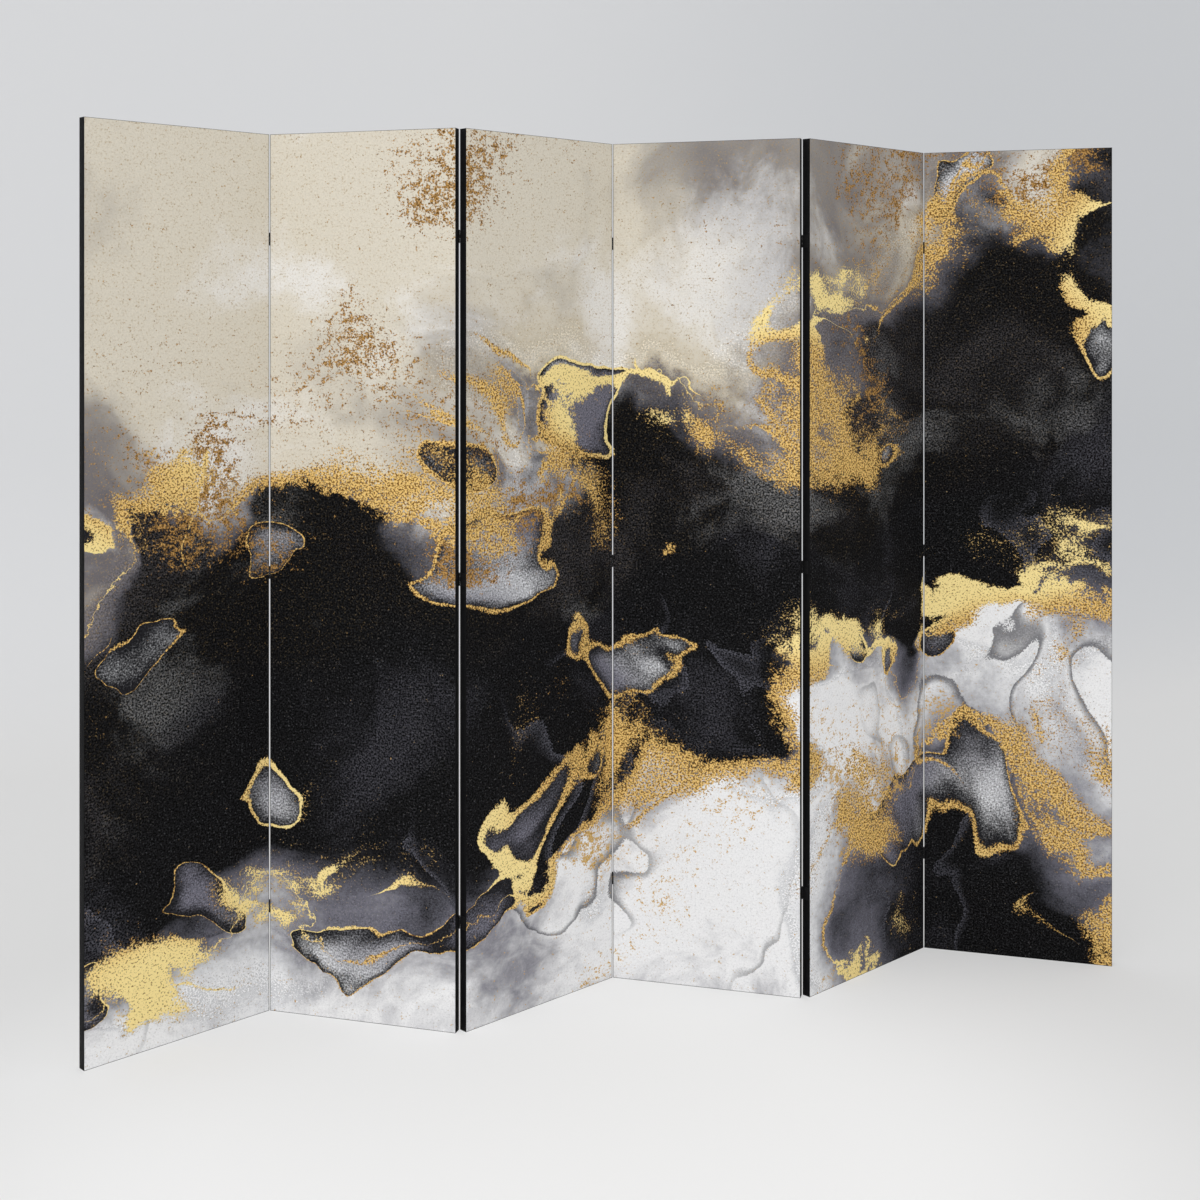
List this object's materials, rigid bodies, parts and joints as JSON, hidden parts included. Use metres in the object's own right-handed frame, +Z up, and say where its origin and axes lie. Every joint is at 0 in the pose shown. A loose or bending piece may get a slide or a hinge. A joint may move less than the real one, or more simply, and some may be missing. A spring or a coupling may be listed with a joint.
{
  "type": "folding screen",
  "caption": "Free-standing zigzag folding screen: hinged timber-framed panels with an abstract ink-and-gold printed canvas on the front and plain canvas behind.",
  "frame": {"origin": "on the floor, under the middle of the screen as it stands in the pictured zigzag", "axes": "+X along the screen to the right seen from the printed front, +Y to the back, +Z up"},
  "size_m": [2.0596, 0.2076, 1.7],
  "materials": {
    "timber_stile": "planed softwood",
    "timber_rail": "planed softwood",
    "printed_canvas": "woven canvas, matt print with gold",
    "plain_canvas": "woven canvas, unprinted",
    "edge_tape": "black edging tape",
    "hinge_leaf": "satin black",
    "hinge_pin": "blackened steel",
    "hinge_screw": "black"
  },
  "bodies": {
    "panel_1": {"panel_1_left_stile": "timber_stile", "panel_1_right_stile": "timber_stile", "panel_1_rails": "timber_rail", "panel_1_front_canvas": "printed_canvas", "panel_1_back_canvas": "plain_canvas", "panel_1_edge_tape": "edge_tape", "panel_1_hinge_screws": "hinge_screw", "hinge_1_left_leaves": "hinge_leaf", "hinge_1_pins": "hinge_pin"},
    "panel_2": {"panel_2_left_stile": "timber_stile", "panel_2_right_stile": "timber_stile", "panel_2_rails": "timber_rail", "panel_2_front_canvas": "printed_canvas", "panel_2_back_canvas": "plain_canvas", "panel_2_edge_tape": "edge_tape", "panel_2_hinge_screws": "hinge_screw", "hinge_1_right_leaves": "hinge_leaf", "hinge_2_left_leaves": "hinge_leaf", "hinge_2_pins": "hinge_pin"},
    "panel_3": {"panel_3_left_stile": "timber_stile", "panel_3_right_stile": "timber_stile", "panel_3_rails": "timber_rail", "panel_3_front_canvas": "printed_canvas", "panel_3_back_canvas": "plain_canvas", "panel_3_edge_tape": "edge_tape", "panel_3_hinge_screws": "hinge_screw", "hinge_2_right_leaves": "hinge_leaf", "hinge_3_left_leaves": "hinge_leaf", "hinge_3_pins": "hinge_pin"},
    "panel_4": {"panel_4_left_stile": "timber_stile", "panel_4_right_stile": "timber_stile", "panel_4_rails": "timber_rail", "panel_4_front_canvas": "printed_canvas", "panel_4_back_canvas": "plain_canvas", "panel_4_edge_tape": "edge_tape", "panel_4_hinge_screws": "hinge_screw", "hinge_3_right_leaves": "hinge_leaf", "hinge_4_left_leaves": "hinge_leaf", "hinge_4_pins": "hinge_pin"},
    "panel_5": {"panel_5_left_stile": "timber_stile", "panel_5_right_stile": "timber_stile", "panel_5_rails": "timber_rail", "panel_5_front_canvas": "printed_canvas", "panel_5_back_canvas": "plain_canvas", "panel_5_edge_tape": "edge_tape", "panel_5_hinge_screws": "hinge_screw", "hinge_4_right_leaves": "hinge_leaf", "hinge_5_left_leaves": "hinge_leaf", "hinge_5_pins": "hinge_pin"},
    "panel_6": {"panel_6_left_stile": "timber_stile", "panel_6_right_stile": "timber_stile", "panel_6_rails": "timber_rail", "panel_6_front_canvas": "printed_canvas", "panel_6_back_canvas": "plain_canvas", "panel_6_edge_tape": "edge_tape", "panel_6_hinge_screws": "hinge_screw", "hinge_5_right_leaves": "hinge_leaf"}
  },
  "joints": [
    {"name": "fold_1", "type": "hinge", "parent": "panel_2", "child": "panel_1", "pos_m": [-0.6872, 0.08833, 0.85], "axis": [0, 0, 1], "range_deg": [-60, 120]},
    {"name": "fold_2", "type": "hinge", "parent": "panel_3", "child": "panel_2", "pos_m": [-0.3436, -0.08833, 0.85], "axis": [0, 0, -1], "range_deg": [-60, 120]},
    {"name": "fold_3", "type": "hinge", "parent": "panel_3", "child": "panel_4", "pos_m": [0, 0.08833, 0.85], "axis": [0, 0, -1], "range_deg": [-60, 120]},
    {"name": "fold_4", "type": "hinge", "parent": "panel_4", "child": "panel_5", "pos_m": [0.3436, -0.08833, 0.85], "axis": [0, 0, 1], "range_deg": [-60, 120]},
    {"name": "fold_5", "type": "hinge", "parent": "panel_5", "child": "panel_6", "pos_m": [0.6872, 0.08833, 0.85], "axis": [0, 0, -1], "range_deg": [-60, 120]}
  ]
}
